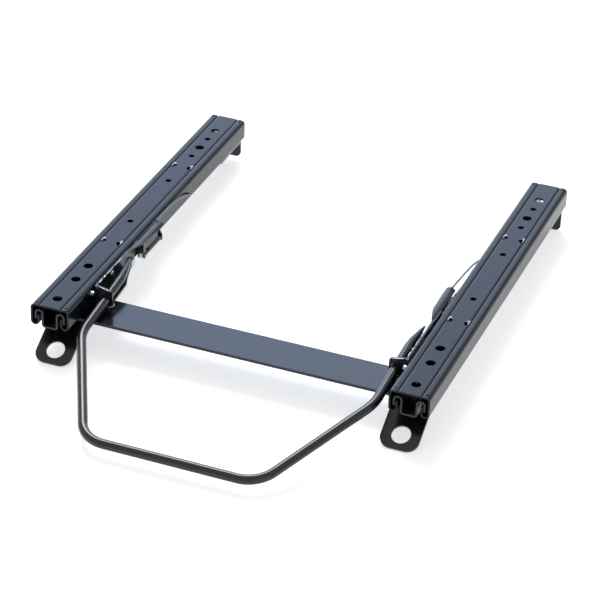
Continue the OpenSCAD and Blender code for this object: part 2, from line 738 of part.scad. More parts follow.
module lock_plate(side) {
  color(dark_paint) on_wall(side) difference() {
    union() {
      bar_y(knuckle_y, knuckle_len, lock_axis_u, -lock_axis_drop, 2 * lock_r);
      translate([lock_blade_u, lock_mid_y - lock_blade_len / 2, -lock_axis_drop])
        cube([lock_blade_t, lock_blade_len, lock_axis_drop - lock_blade_drop]);
      for (k = teeth)
        translate([tooth_u, lock_mid_y + k * tooth_pitch - tooth_w / 2, -tooth_drop - tooth_h])
          cube([lock_blade_u + lock_blade_t / 2 - tooth_u, tooth_w, tooth_h]);
      // Tail that the lever's nose presses down, reaching past the front ear
      translate([0, 0, -nose_drop - tail_gap - tail_t]) linear_extrude(tail_t)
        polygon([[lock_axis_u, knuckle_y], [tail_in_u, knuckle_y], [tail_in_u, nose_y + 0.5],
                 [tail_u, nose_y + 0.5], [tail_u, knuckle_y + tail_len], [lock_axis_u, knuckle_y + tail_len]]);
    }
    bar_y(knuckle_y - over, knuckle_len + 2 * over, lock_axis_u, -lock_axis_drop, lock_pin_d + 2 * pin_fit);
  }
}

module return_spring(side) {
  route = spring_route();
  radii = [for (p = route) spring_r];
  color(zinc) on_wall(side) swept_bar(route, radii, spring_sides, unit([1, 0.2, 2]));
}

// Strip of a ball cage with its windows, on the positive side of a rail
module ball_cage(y) {
  difference() {
    translate([cage_x, y - cage_len / 2, race_bottom_z - cage_end_gap])
      cube([cage_t, cage_len, race_top_z - race_bottom_z + 2 * cage_end_gap]);
    for (k = [0 : balls_per_row - 1], z = [race_top_z, race_bottom_z])
      bar_x(cage_x - over, cage_t + 2 * over, y + (k - (balls_per_row - 1) / 2) * ball_step, z,
            2 * cage_window_r);
  }
}

module ball_cages(side) {
  color(zinc) on_rail(side) for (s = [LEFT, RIGHT], y = [front_cage_y, rear_cage_y])
    mirror([s == LEFT ? 1 : 0, 0, 0]) ball_cage(y);
}

module balls(side) {
  color(ball_steel) on_rail(side)
    for (s = [LEFT, RIGHT], y = [front_cage_y, rear_cage_y], z = [race_top_z, race_bottom_z],
         k = [0 : balls_per_row - 1])
      translate([s * race_x, y + (k - (balls_per_row - 1) / 2) * ball_step, z]) sphere(ball_r);
}

module handle_bar() {
  end = [wall_x - rod_end_u, rod_end_y, -rod_end_drop];
  elbow = [wall_x - elbow_u, elbow_y, -elbow_drop];
  corner = [bar_half, -bar_reach, -bar_drop];
  flip = [-1, 1, 1];
  mirrored = function (p) [for (i = [0 : 2]) p[i] * flip[i]];
  tip = [for (t = rod_tip) end + [t[0], t[1], t[2]]];
  right_half = concat(tip, [end], bend(end, elbow, corner, elbow_r, elbow_steps),
    bend(elbow, corner, mirrored(corner), corner_r, corner_steps));
  last = len(right_half) - 1;
  left_half = [for (i = [last : -1 : 0]) mirrored(right_half[i])];
  taper = [for (t = rod_tip) t[3] * rod_r];
  half_radii = [for (i = [0 : last]) i < len(taper) ? taper[i] : rod_r];
  radii = concat(half_radii, [for (i = [last : -1 : 0]) half_radii[i]]);
  color(paint) placed() swept_bar(concat(right_half, left_half), radii, rod_sides, [0, 0, 1]);
}

// Side view of a lever's wall plate
module lever_wall_outline() {
  polygon([
    [lever_front_y, rod_z(lever_front_y) - seat_drop - lever_t], [lever_front_y, -1.6],
    [lever_front_y + 4, 0], [pivot_y - 5, 0], [pivot_y + 4, -1.4], [nose_y + 2, -1.4],
    [nose_y + 2, -4.4], [pivot_y + 11, -pivot_drop + 4],
    [pivot_y + 6, -pivot_drop - boss_d / 2 + 0.5], [pivot_y - 6, -pivot_drop - boss_d / 2 + 0.5],
    [trough_end_y - trough_skew / 3, trough_floor_z]]);
}

// Floor of a lever's trough, parallel to the pull bar that lies in it and tapered behind the bar's end
module lever_floor() {
  front_z = rod_z(lever_front_y) - seat_drop;
  end_z = rod_z(trough_end_y) - seat_drop;
  intersection() {
    along_x(lever_gap, trough_u - lever_gap)
      polygon([[lever_front_y, front_z - lever_t], [lever_front_y, front_z],
               [trough_end_y, end_z], [trough_end_y, end_z - lever_t]]);
    translate([0, 0, -3 * elbow_drop]) linear_extrude(4 * elbow_drop)
      polygon(concat([[0, 0], [trough_u, 0]], trough_edge,
                     [[lever_out_u, trough_end_y - trough_skew], [0, trough_end_y - trough_skew]]));
  }
}

// Front flange of a lever, with the bore that the pull bar passes through
module lever_flange() {
  bottom_z = rod_z(lever_front_y) - seat_drop - lever_t / 2;
  bore_y = lever_front_y + lever_t / 2;
  difference() {
    along_y(lever_front_y, lever_t)
      polygon([[lever_gap, bottom_z], [flange_u, bottom_z], [flange_u, -5], [flange_u - 1.4, -3.4],
               [lever_out_u + 1, -0.6], [lever_gap, -1.8]]);
    translate([rod_u(bore_y), bore_y, rod_z(bore_y)]) rotate([atan(rod_rise), 0, atan(rod_drift)])
      bar_y(-2 * lever_t, 4 * lever_t, 0, 0, rod_d + 2 * bore_gap);
  }
}

// Plan of a lever's leaf-shaped channel behind the pivot
module channel_plan() {
  polygon([[lever_gap, pivot_y - 3], [lever_out_u, pivot_y - 3], [lever_out_u + 1.4, pivot_y],
           [lever_out_u + 4, pivot_y + 9], [nose_u, nose_y], [nose_u + 0.4, nose_end_y],
           [channel_w - 0.8, pivot_y + 0.7 * channel_len], [channel_w, channel_end_y - 8],
           [channel_w - 0.5, channel_end_y], [lever_gap, channel_end_y]]);
}

// Cross section of the channel: a round arch, open below
module arch_2d() {
  difference() {
    translate([arch_u, arch_z]) circle(arch_r);
    translate([arch_u, arch_z]) circle(arch_r - arch_t);
    box_2d([arch_u - 2 * arch_r, arch_z - 2 * arch_r], [arch_u + 2 * arch_r, -channel_drop]);
  }
}

module channel_arch() {
  intersection() {
    along_y(pivot_y - 4, channel_len + 4 + over) arch_2d();
    translate([0, 0, arch_z]) linear_extrude(2 * arch_r) channel_plan();
  }
}

module release_lever(side) {
  brace_u = rod_u(lever_front_y) - rod_r - brace_gap;
  color(paint) on_wall(side) difference() {
    union() {
      along_x(lever_gap, lever_t) lever_wall_outline();
      lever_floor();
      lever_flange();
      channel_arch();
      // Nose that presses the lock's tail down
      translate([nose_u - nose_t, nose_y, -nose_drop])
        cube([nose_t, nose_len, nose_drop + channel_top - 0.8 * arch_t]);
      bar_x(lever_gap, lever_t + boss_h, pivot_y, -pivot_drop, boss_d);
      // Brace that stands across the front of the trough
      translate([0, 0, rod_z(lever_front_y) - seat_drop - lever_t / 4]) linear_extrude(brace_h)
        polygon([[brace_u - brace_t, lever_front_y + lever_t / 2],
                 [lever_out_u - lever_t / 3, lever_front_y + brace_len],
                 [lever_out_u - lever_t / 3, lever_front_y + brace_len + 2 * brace_t],
                 [brace_u, lever_front_y + lever_t / 2]]);
    }
    bar_x(0, lever_out_u + boss_h + over, pivot_y, -pivot_drop, pivot_d + 2 * pin_fit);
    bar_x(0, lever_out_u + over, lever_rivet_y, -lever_rivet_drop, lever_rivet_d + 2 * pin_fit);
  }
}

module lever_rivets() {
  color(zinc) for (side = [LEFT, RIGHT]) on_wall(side) {
    bar_x(lever_gap, lever_t, lever_rivet_y, -lever_rivet_drop, lever_rivet_d);
    bar_x(lever_out_u, lever_rivet_head_h, lever_rivet_y, -lever_rivet_drop, lever_rivet_head_d);
  }
}

lower_rail(LEFT);  // lower_rail_left
lower_rail(RIGHT);  // lower_rail_right
cross_strip();
front_foot(LEFT);  // front_foot_left
front_foot(RIGHT);  // front_foot_right
rear_foot(LEFT);  // rear_foot_left
rear_foot(RIGHT);  // rear_foot_right
rail_rivets();
strip_rivets();
upper_rail(LEFT);  // upper_rail_left
upper_rail(RIGHT);  // upper_rail_right
lever_pivots();
lever_stops();
lock_ears(LEFT);  // lock_ears_left
lock_ears(RIGHT);  // lock_ears_right
lock_pins();
return_spring(LEFT);  // return_spring_left
return_spring(RIGHT);  // return_spring_right
ball_cages(LEFT);  // ball_cages_left
ball_cages(RIGHT);  // ball_cages_right
balls(LEFT);  // balls_left
balls(RIGHT);  // balls_right
handle_bar();
release_lever(LEFT);  // release_lever_left
release_lever(RIGHT);  // release_lever_right
lever_rivets();
lock_plate(LEFT);  // lock_plate_left
lock_plate(RIGHT);  // lock_plate_right
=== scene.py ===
"""Looks of a pair of seat slide rails: painted steel rails, a bent pull bar, levers, wires and rivets.

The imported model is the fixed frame. Every new piece is worked out in metres from the frame's own boxes
and from sizes in millimetres that the sub-assemblies hold as fields.
"""

import logging
import math
from dataclasses import dataclass, field
from enum import Enum

import bmesh
import bpy
import numpy as np
from mathutils import Matrix, Vector


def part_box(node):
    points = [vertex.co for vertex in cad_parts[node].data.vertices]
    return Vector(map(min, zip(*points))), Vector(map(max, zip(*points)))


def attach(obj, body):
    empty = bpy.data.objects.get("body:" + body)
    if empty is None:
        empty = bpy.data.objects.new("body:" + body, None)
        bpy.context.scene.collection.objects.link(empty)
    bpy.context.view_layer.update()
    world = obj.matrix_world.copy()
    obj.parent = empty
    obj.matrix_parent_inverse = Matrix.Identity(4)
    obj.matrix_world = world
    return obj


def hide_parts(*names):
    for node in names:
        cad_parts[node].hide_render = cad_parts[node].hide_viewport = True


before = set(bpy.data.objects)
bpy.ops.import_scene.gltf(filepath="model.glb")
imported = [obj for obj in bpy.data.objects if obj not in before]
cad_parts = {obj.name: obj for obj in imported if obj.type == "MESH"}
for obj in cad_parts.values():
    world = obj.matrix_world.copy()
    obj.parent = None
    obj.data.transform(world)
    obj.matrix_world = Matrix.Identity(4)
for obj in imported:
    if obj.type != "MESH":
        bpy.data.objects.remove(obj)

MM = 0.001
UP = (0.0, 0.0, 1.0)
log = logging.getLogger("seat_slide_rail")
Socket = bpy.types.NodeSocket
Points = np.ndarray


class Side(Enum):
    """Which of the two rails a piece belongs to."""

    LEFT = -1
    RIGHT = 1

    @property
    def word(self) -> str:
        """Ending of the names of pieces on this side."""
        return self.name.lower()


class Body(Enum):
    """Rigid bodies of the frame."""

    BASE = "base"
    CARRIAGE = "carriage"
    BEARINGS = "bearings"
    HANDLE = "handle"
    LOCK_LEFT = "lock_left"
    LOCK_RIGHT = "lock_right"


@dataclass(frozen=True)
class Datum:
    """Reference planes of the rails, read from the frame.

    Args:
        front_y: Front end of the upper rails, in metres.
        top_z: Top face of the upper rails, in metres.
        wall_x: Inner wall of a rail, as a distance from the middle, in metres.
    """

    front_y: float
    top_z: float
    wall_x: float

    @classmethod
    def from_frame(cls) -> "Datum":
        """Reads the planes from the right upper rail's box."""
        low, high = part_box("upper_rail_right")
        return cls(front_y=low.y, top_z=high.z, wall_x=low.x)

    def at(self, x: float, y: float, z: float) -> Points:
        """Point in metres for millimetres from the middle, the rails' front end and their top face."""
        return np.array([x * MM, self.front_y + y * MM, self.top_z + z * MM])

    def by_wall(self, side: Side, u: float, y: float, z: float) -> Points:
        """Point in metres that lies u millimetres inboard of a rail's inner wall."""
        return np.array([side.value * (self.wall_x - u * MM), self.front_y + y * MM, self.top_z + z * MM])


def linear(hex_colour: str) -> tuple[float, float, float, float]:
    """Linear colour of an sRGB hex value.

    Args:
        hex_colour: Colour such as "#1c1e21".

    Returns:
        Red, green, blue and alpha in linear light.
    """
    srgb = np.array([int(hex_colour[i:i + 2], 16) for i in (1, 3, 5)]) / 255
    value = np.where(srgb <= 0.04045, srgb / 12.92, ((srgb + 0.055) / 1.055) ** 2.4)
    return (*value.tolist(), 1.0)


def add(tree: bpy.types.NodeTree, kind: str, links: dict | None = None, **settings) -> bpy.types.Node:
    """Adds one node, sets it up and links its inputs.

    Args:
        tree: Node tree that gets the node.
        kind: Type name of the node.
        links: Input name or number to a socket to link or a value to set.
        settings: Attributes of the node.

    Returns:
        The new node.
    """
    node = tree.nodes.new(kind)
    for name, value in settings.items():
        setattr(node, name, value)
    for name, value in (links or {}).items():
        if isinstance(value, bpy.types.NodeSocket):
            tree.links.new(value, node.inputs[name])
        else:
            node.inputs[name].default_value = value
    return node


def noise(tree: bpy.types.NodeTree, vector: Socket, grain_mm: float, detail: float = 3.0) -> Socket:
    """Noise whose features are about grain_mm across.

    Args:
        tree: Node tree of the material.
        vector: Coordinates in metres.
        grain_mm: Size of a feature in millimetres.
        detail: Octaves of finer noise.

    Returns:
        Socket with a value from 0 to 1.
    """
    node = add(tree, "ShaderNodeTexNoise",
               {"Vector": vector, "Scale": 1 / (grain_mm * MM), "Detail": detail, "Roughness": 0.55})
    return node.outputs["Fac"]


def spread(tree: bpy.types.NodeTree, value: Socket, low: float, high: float) -> Socket:
    """Maps the middle of a noise, 0.3 to 0.7, to a range from low to high."""
    node = add(tree, "ShaderNodeMapRange",
               {"Value": value, "From Min": 0.3, "From Max": 0.7, "To Min": low, "To Max": high})
    return node.outputs["Result"]


@dataclass(frozen=True)
class Finish:
    """A surface finish: its colours, its gloss and the sizes of its patterns in millimetres."""

    name: str
    colour: str
    second_colour: str
    metallic: float
    rough_low: float
    rough_high: float
    cloud_mm: float
    peel_mm: float
    peel_height_mm: float
    draw_axis: tuple[float, float, float] = (1.0, 1.0, 1.0)
    coat: float = 0.0
    coat_rough: float = 0.12
    specular: float = 0.5
    mark_share: float = 1 / 6
    mark_detail: float = 5.0
    relief_detail: float = 2.0

    def material(self) -> bpy.types.Material:
        """Builds the material once and returns it.

        Broad clouds shift the colour a little, marks drawn out along draw_axis vary the gloss, and a fine
        relief breaks up the reflections.

        Returns:
            The finished material.
        """
        found = bpy.data.materials.get(self.name)
        if found:
            return found
        material = bpy.data.materials.new(self.name)
        material.use_nodes = True
        tree = material.node_tree
        tree.nodes.clear()
        place = add(tree, "ShaderNodeTexCoord").outputs["Object"]
        drawn = add(tree, "ShaderNodeMapping", {"Vector": place, "Scale": self.draw_axis}).outputs["Vector"]
        clouds = spread(tree, noise(tree, place, self.cloud_mm), 0.0, 1.0)
        colour = add(tree, "ShaderNodeMix", {"Factor": clouds}, data_type="RGBA")
        colour.inputs[6].default_value = linear(self.colour)
        colour.inputs[7].default_value = linear(self.second_colour)
        marks = noise(tree, drawn, self.cloud_mm * self.mark_share, self.mark_detail)
        relief = noise(tree, drawn, self.peel_mm, self.relief_detail)
        bump = add(tree, "ShaderNodeBump",
                   {"Height": relief, "Strength": 1.0, "Distance": self.peel_height_mm * MM})
        shader = add(tree, "ShaderNodeBsdfPrincipled", {
            "Base Color": colour.outputs[2],
            "Metallic": self.metallic,
            "Roughness": spread(tree, marks, self.rough_low, self.rough_high),
            "Normal": bump.outputs["Normal"],
            "Coat Weight": self.coat,
            "Coat Roughness": self.coat_rough,
            "Specular IOR Level": self.specular,
        })
        add(tree, "ShaderNodeOutputMaterial", {"Surface": shader.outputs["BSDF"]})
        return material


# Cathodic dip paint on roll-formed sheet: near black, semi-gloss, with faint lines along its length
RAIL_DIP_PAINT = Finish(
    "rail_black_dip_paint_rolled", "#0c1016", "#11161e", metallic=0.0, rough_low=0.13, rough_high=0.20,
    cloud_mm=60.0, peel_mm=1.8, peel_height_mm=0.006, draw_axis=(1.0, 0.12, 1.0), specular=0.25)
# The same paint on flat strip, where the dip leaves longer waves
STRIP_DIP_PAINT = Finish(
    "strip_black_dip_paint_flat", "#0e1219", "#131a24", metallic=0.0, rough_low=0.14, rough_high=0.22,
    cloud_mm=45.0, peel_mm=2.4, peel_height_mm=0.006, draw_axis=(0.15, 1.0, 1.0), specular=0.45)
# Paint on pressed brackets, a little drier and rougher on the bends
BRACKET_DIP_PAINT = Finish(
    "bracket_black_dip_paint_pressed", "#0b0c0e", "#111316", metallic=0.0, rough_low=0.18, rough_high=0.28,
    cloud_mm=25.0, peel_mm=1.6, peel_height_mm=0.007)
# Stove enamel on drawn bar: smooth, with a clear gloss that shows the lamps as lines
BAR_ENAMEL = Finish(
    "bar_black_stove_enamel_drawn", "#0e1012", "#15171a", metallic=0.0, rough_low=0.13, rough_high=0.20,
    cloud_mm=30.0, peel_mm=2.4, peel_height_mm=0.004, coat=0.25, specular=0.4)
# Paint on folded lever sheet, thin on the sheared edges
LEVER_DIP_PAINT = Finish(
    "lever_black_dip_paint_folded", "#0e1013", "#15181c", metallic=0.0, rough_low=0.24, rough_high=0.36,
    cloud_mm=14.0, peel_mm=1.4, peel_height_mm=0.006, specular=0.45)
# Zinc plate on upset rivets: grey metal with a fine crystalline break-up
ZINC_PLATE = Finish(
    "rivet_zinc_plate_upset", "#a9adb1", "#c3c6c9", metallic=1.0, rough_low=0.26, rough_high=0.42,
    cloud_mm=3.0, peel_mm=0.5, peel_height_mm=0.010)
# Phosphated strip of the ball cages
CAGE_PHOSPHATE = Finish(
    "cage_grey_phosphate_stamped", "#54575a", "#6a6d70", metallic=0.8, rough_low=0.42, rough_high=0.58,
    cloud_mm=6.0, peel_mm=0.6, peel_height_mm=0.012)
# Patented spring wire with die marks along its length
SPRING_WIRE = Finish(
    "spring_steel_wire_drawn", "#56595c", "#6b6e71", metallic=1.0, rough_low=0.22, rough_high=0.34,
    cloud_mm=4.0, peel_mm=0.5, peel_height_mm=0.006, draw_axis=(1.0, 0.15, 1.0))
# Bright bare steel for thin beads that paint highlights on the stop tongues and the lever edges, bright as a
# file mark
HIGHLIGHT_BEAD_STEEL = Finish(
    "painted_highlight_bare_steel", "#c9ccd0", "#e2e4e6", metallic=1.0, rough_low=0.14, rough_high=0.24,
    cloud_mm=1.5, peel_mm=0.4, peel_height_mm=0.010)
# Ground and lapped bearing balls
BALL_STEEL = Finish(
    "ball_chrome_steel_lapped", "#d2d4d6", "#dcdddf", metallic=1.0, rough_low=0.06, rough_high=0.12,
    cloud_mm=5.0, peel_mm=0.8, peel_height_mm=0.002)


def mesh_object(name: str, points: Points, faces: list, smooth: bool = True) -> bpy.types.Object:
    """Object at the origin from points in metres and faces of point numbers.

    Args:
        name: Name of the piece.
        points: Array of shape (n, 3).
        faces: Face loops.
        smooth: Whether faces are shaded smooth.

    Returns:
        The linked object.
    """
    mesh = bpy.data.meshes.new(name)
    mesh.from_pydata(points.tolist(), [], faces)
    mesh.polygons.foreach_set("use_smooth", np.full(len(mesh.polygons), smooth))
    mesh.update()
    piece = bpy.data.objects.new(name, mesh)
    bpy.context.scene.collection.objects.link(piece)
    return piece


def grid_faces(rows: int, columns: int, first: int = 0) -> list:
    """Quads of a grid of rows by columns points whose columns close on themselves.

    Args:
        rows: Rings along the shape.
        columns: Points around a ring.
        first: Number of the grid's first point.

    Returns:
        Face loops, turned outwards for rings that run anticlockwise about the way forward.
    """
    r, c = np.meshgrid(np.arange(rows - 1), np.arange(columns), indexing="ij")
    a = first + r * columns + c
    b = first + r * columns + (c + 1) % columns
    return np.stack([a, b, b + columns, a + columns], -1).reshape(-1, 4).tolist()


def headings(route: Points) -> Points:
    """Unit directions along a route, from the difference of its neighbours at each point."""
    step = np.gradient(route, axis=0)
    return step / np.linalg.norm(step, axis=1, keepdims=True)


def tube(route: Points, radii: Points, sides: int, hint: tuple[float, float, float]) -> tuple[Points, list]:
    """Round bar: at each route point a circle square to the route, closed by a face at each end.

    Args:
        route: Points of the centre line, in metres.
        radii: Radius at each point, in metres.
        sides: Points around a circle.
        hint: Direction that the route never runs along, which steadies the circles.

    Returns:
        Points and faces.
    """
    ahead = headings(route)
    across = np.cross(ahead, np.array(hint))
    across /= np.linalg.norm(across, axis=1, keepdims=True)
    upward = np.cross(across, ahead)
    angle = np.linspace(0, 2 * np.pi, sides, endpoint=False)
    ring = across[:, None] * np.cos(angle)[None, :, None] + upward[:, None] * np.sin(angle)[None, :, None]
    points = route[:, None] + radii[:, None, None] * ring
    count = len(route)
    caps = [list(range(sides))[::-1], list(range((count - 1) * sides, count * sides))]
    faces = [face[::-1] for face in grid_faces(count, sides) + caps]
    return points.reshape(-1, 3), faces


def revolve(profile: Points, base: Points, axis: Points, sides: int = 40) -> tuple[Points, list]:
    """Turned shape: each profile point, a radius and a height, makes a circle about the axis.

    Args:
        profile: Rows of radius and height in metres, from the foot to the crown.
        base: Point on the axis at height 0.
        axis: Unit direction of the height.
        sides: Points around a circle.

    Returns:
        Points and faces, closed at both ends.
    """
    side_hint = np.array([0.0, 0.0, 1.0]) if abs(axis[2]) < 0.9 else np.array([1.0, 0.0, 0.0])
    across = np.cross(axis, side_hint)
    across /= np.linalg.norm(across)
    upward = np.cross(axis, across)
    angle = np.linspace(0, 2 * np.pi, sides, endpoint=False)
    ring = np.cos(angle)[:, None] * across + np.sin(angle)[:, None] * upward
    points = base + profile[:, 1][:, None, None] * axis + profile[:, 0][:, None, None] * ring
    count = len(profile)
    caps = [list(range(sides))[::-1], list(range((count - 1) * sides, count * sides))]
    return points.reshape(-1, 3), grid_faces(count, sides) + caps


def join_shapes(shapes: list[tuple[Points, list]]) -> tuple[Points, list]:
    """Puts several shapes into one list of points and faces.

    Args:
        shapes: Points and faces of each shape.

    Returns:
        All points, and the faces renumbered to them.
    """
    starts = np.cumsum([0] + [len(points) for points, _ in shapes[:-1]])
    faces = [[number + int(start) for number in face]
             for start, (_, part) in zip(starts, shapes) for face in part]
    return np.concatenate([points for points, _ in shapes]), faces


def rounded_route(corners: list[Points], radii: list[float], step: float) -> Points:
    """Line through corners with an arc at each inner corner.

    An arc of radius r at a corner starts r / tan(half the angle) before it. Points on the straight stretches
    and on the arcs lie about step apart.

    Args:
        corners: Corner points in metres.
        radii: Arc radius at each inner corner, in metres.
        step: Distance between points, in metres.

    Returns:
        Array of points.
    """
    least_points = 4
    least_gap = 0.02 * step
    runs = [corners[0][None]]
    for before, corner, after, radius in zip(corners, corners[1:], corners[2:], radii):
        a = (before - corner) / np.linalg.norm(before - corner)
        b = (after - corner) / np.linalg.norm(after - corner)
        half = math.acos(float(a @ b)) / 2
        middle = (a + b) / np.linalg.norm(a + b)
        centre = corner + middle * radius / math.sin(half)
        start = (corner + a * radius / math.tan(half) - centre) / radius
        sweep = math.pi - 2 * half
        turn = np.linspace(0, sweep, max(least_points, round(radius * sweep / step)))[:, None]
        arc = centre + radius * (start * np.cos(turn) - a * np.sin(turn))
        runs += [straight(runs[-1][-1], arc[0], step), arc]
    runs.append(straight(runs[-1][-1], corners[-1], step))
    route = np.concatenate(runs)
    keep = np.concatenate([[True], np.linalg.norm(np.diff(route, axis=0), axis=1) > least_gap])
    return route[keep]


def straight(start: Points, end: Points, step: float) -> Points:
    """Points about step apart from start to end, with both ends."""
    count = max(2, round(float(np.linalg.norm(end - start)) / step) + 1)
    return start + (end - start) * np.linspace(0, 1, count)[:, None]


def dress(piece: bpy.types.Object, finish: Finish, body: Body, slot: str, *nodes: str) -> bpy.types.Object:
    """Gives a new piece its finish and its body, and hides the frame nodes that it stands for.

    Args:
        piece: Finished object.
        finish: Its surface finish.
        body: Body that carries it.
        slot: The record's material slot. Not used.
        nodes: Frame nodes that it replaces.

    Returns:
        The piece.
    """
    piece.data.materials.clear()
    piece.data.materials.append(finish.material())
    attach(piece, body.value)
    if nodes:
        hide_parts(*nodes)
    log.info("%s rides on %s", piece.name, body.value)
    return piece


def eased_copy(node: str, name: str, edge_mm: float) -> bpy.types.Object:
    """Copy of a frame node with its sheared edges eased, so that they catch the light.

    The loose triangles are merged, flat areas become single faces, and a Bevel of two segments rounds the
    edges that turn by more than 35 degrees.

    Args:
        node: Frame node.
        name: Name of the new piece.
        edge_mm: Width of the eased edge in millimetres.

    Returns:
        The new object.
    """
    merge_distance = 0.002 * MM
    flat_angle = math.radians(0.5)
    sharp_angle = math.radians(35)
    mesh = bpy.data.meshes.new(name)
    form = bmesh.new()
    form.from_mesh(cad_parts[node].data)
    bmesh.ops.remove_doubles(form, verts=form.verts, dist=merge_distance)
    bmesh.ops.dissolve_limit(form, angle_limit=flat_angle, verts=form.verts, edges=form.edges)
    form.to_mesh(mesh)
    form.free()
    mesh.polygons.foreach_set("use_smooth", np.full(len(mesh.polygons), True))
    piece = bpy.data.objects.new(name, mesh)
    bpy.context.scene.collection.objects.link(piece)
    ease = piece.modifiers.new("eased_edges", "BEVEL")
    ease.width = edge_mm * MM
    ease.segments = 2
    ease.limit_method = "ANGLE"
    ease.angle_limit = sharp_angle
    ease.use_clamp_overlap = True
    ease.harden_normals = False
    flats = piece.modifiers.new("flat_faces", "WEIGHTED_NORMAL")
    flats.keep_sharp = True
    flats.weight = 100
    return piece


@dataclass(frozen=True)
class SheetMetal:
    """The folded and pressed pieces, which keep the frame's shapes with eased edges."""

    rail_edge_mm: float = 0.3
    strip_edge_mm: float = 0.4
    foot_edge_mm: float = 0.4
    lever_edge_mm: float = 0.35
    lock_edge_mm: float = 0.3

    def build(self) -> None:
        """Makes an eased copy of each sheet piece and dresses it."""
        dress(eased_copy("cross_strip", "joining_strip", self.strip_edge_mm),
              STRIP_DIP_PAINT, Body.BASE, "bracket_paint", "cross_strip")
        locks = {Side.LEFT: Body.LOCK_LEFT, Side.RIGHT: Body.LOCK_RIGHT}
        for side in Side:
            rows = [
                ("upper_rail", "sliding_rail", self.rail_edge_mm, RAIL_DIP_PAINT, Body.CARRIAGE,
                 "rail_paint"),
                ("lower_rail", "fixed_rail", self.rail_edge_mm, BRACKET_DIP_PAINT, Body.BASE, "rail_paint"),
                ("front_foot", "sloping_foot", self.foot_edge_mm, BRACKET_DIP_PAINT, Body.BASE,
                 "bracket_paint"),
                ("rear_foot", "upright_foot", self.foot_edge_mm, BRACKET_DIP_PAINT, Body.BASE,
                 "bracket_paint"),
                ("release_lever", "folded_lever", self.lever_edge_mm, LEVER_DIP_PAINT, Body.HANDLE,
                 "lever_paint"),
                ("lock_plate", "toothed_lock", self.lock_edge_mm, LEVER_DIP_PAINT, locks[side],
                 "lever_paint"),
                ("lock_ears", "hinge_ears", self.lock_edge_mm, LEVER_DIP_PAINT, Body.CARRIAGE, "lever_paint"),
            ]
            for node, name, edge, finish, body, slot in rows:
                source = f"{node}_{side.word}"
                dress(eased_copy(source, f"{name}_{side.word}", edge), finish, body, slot, source)


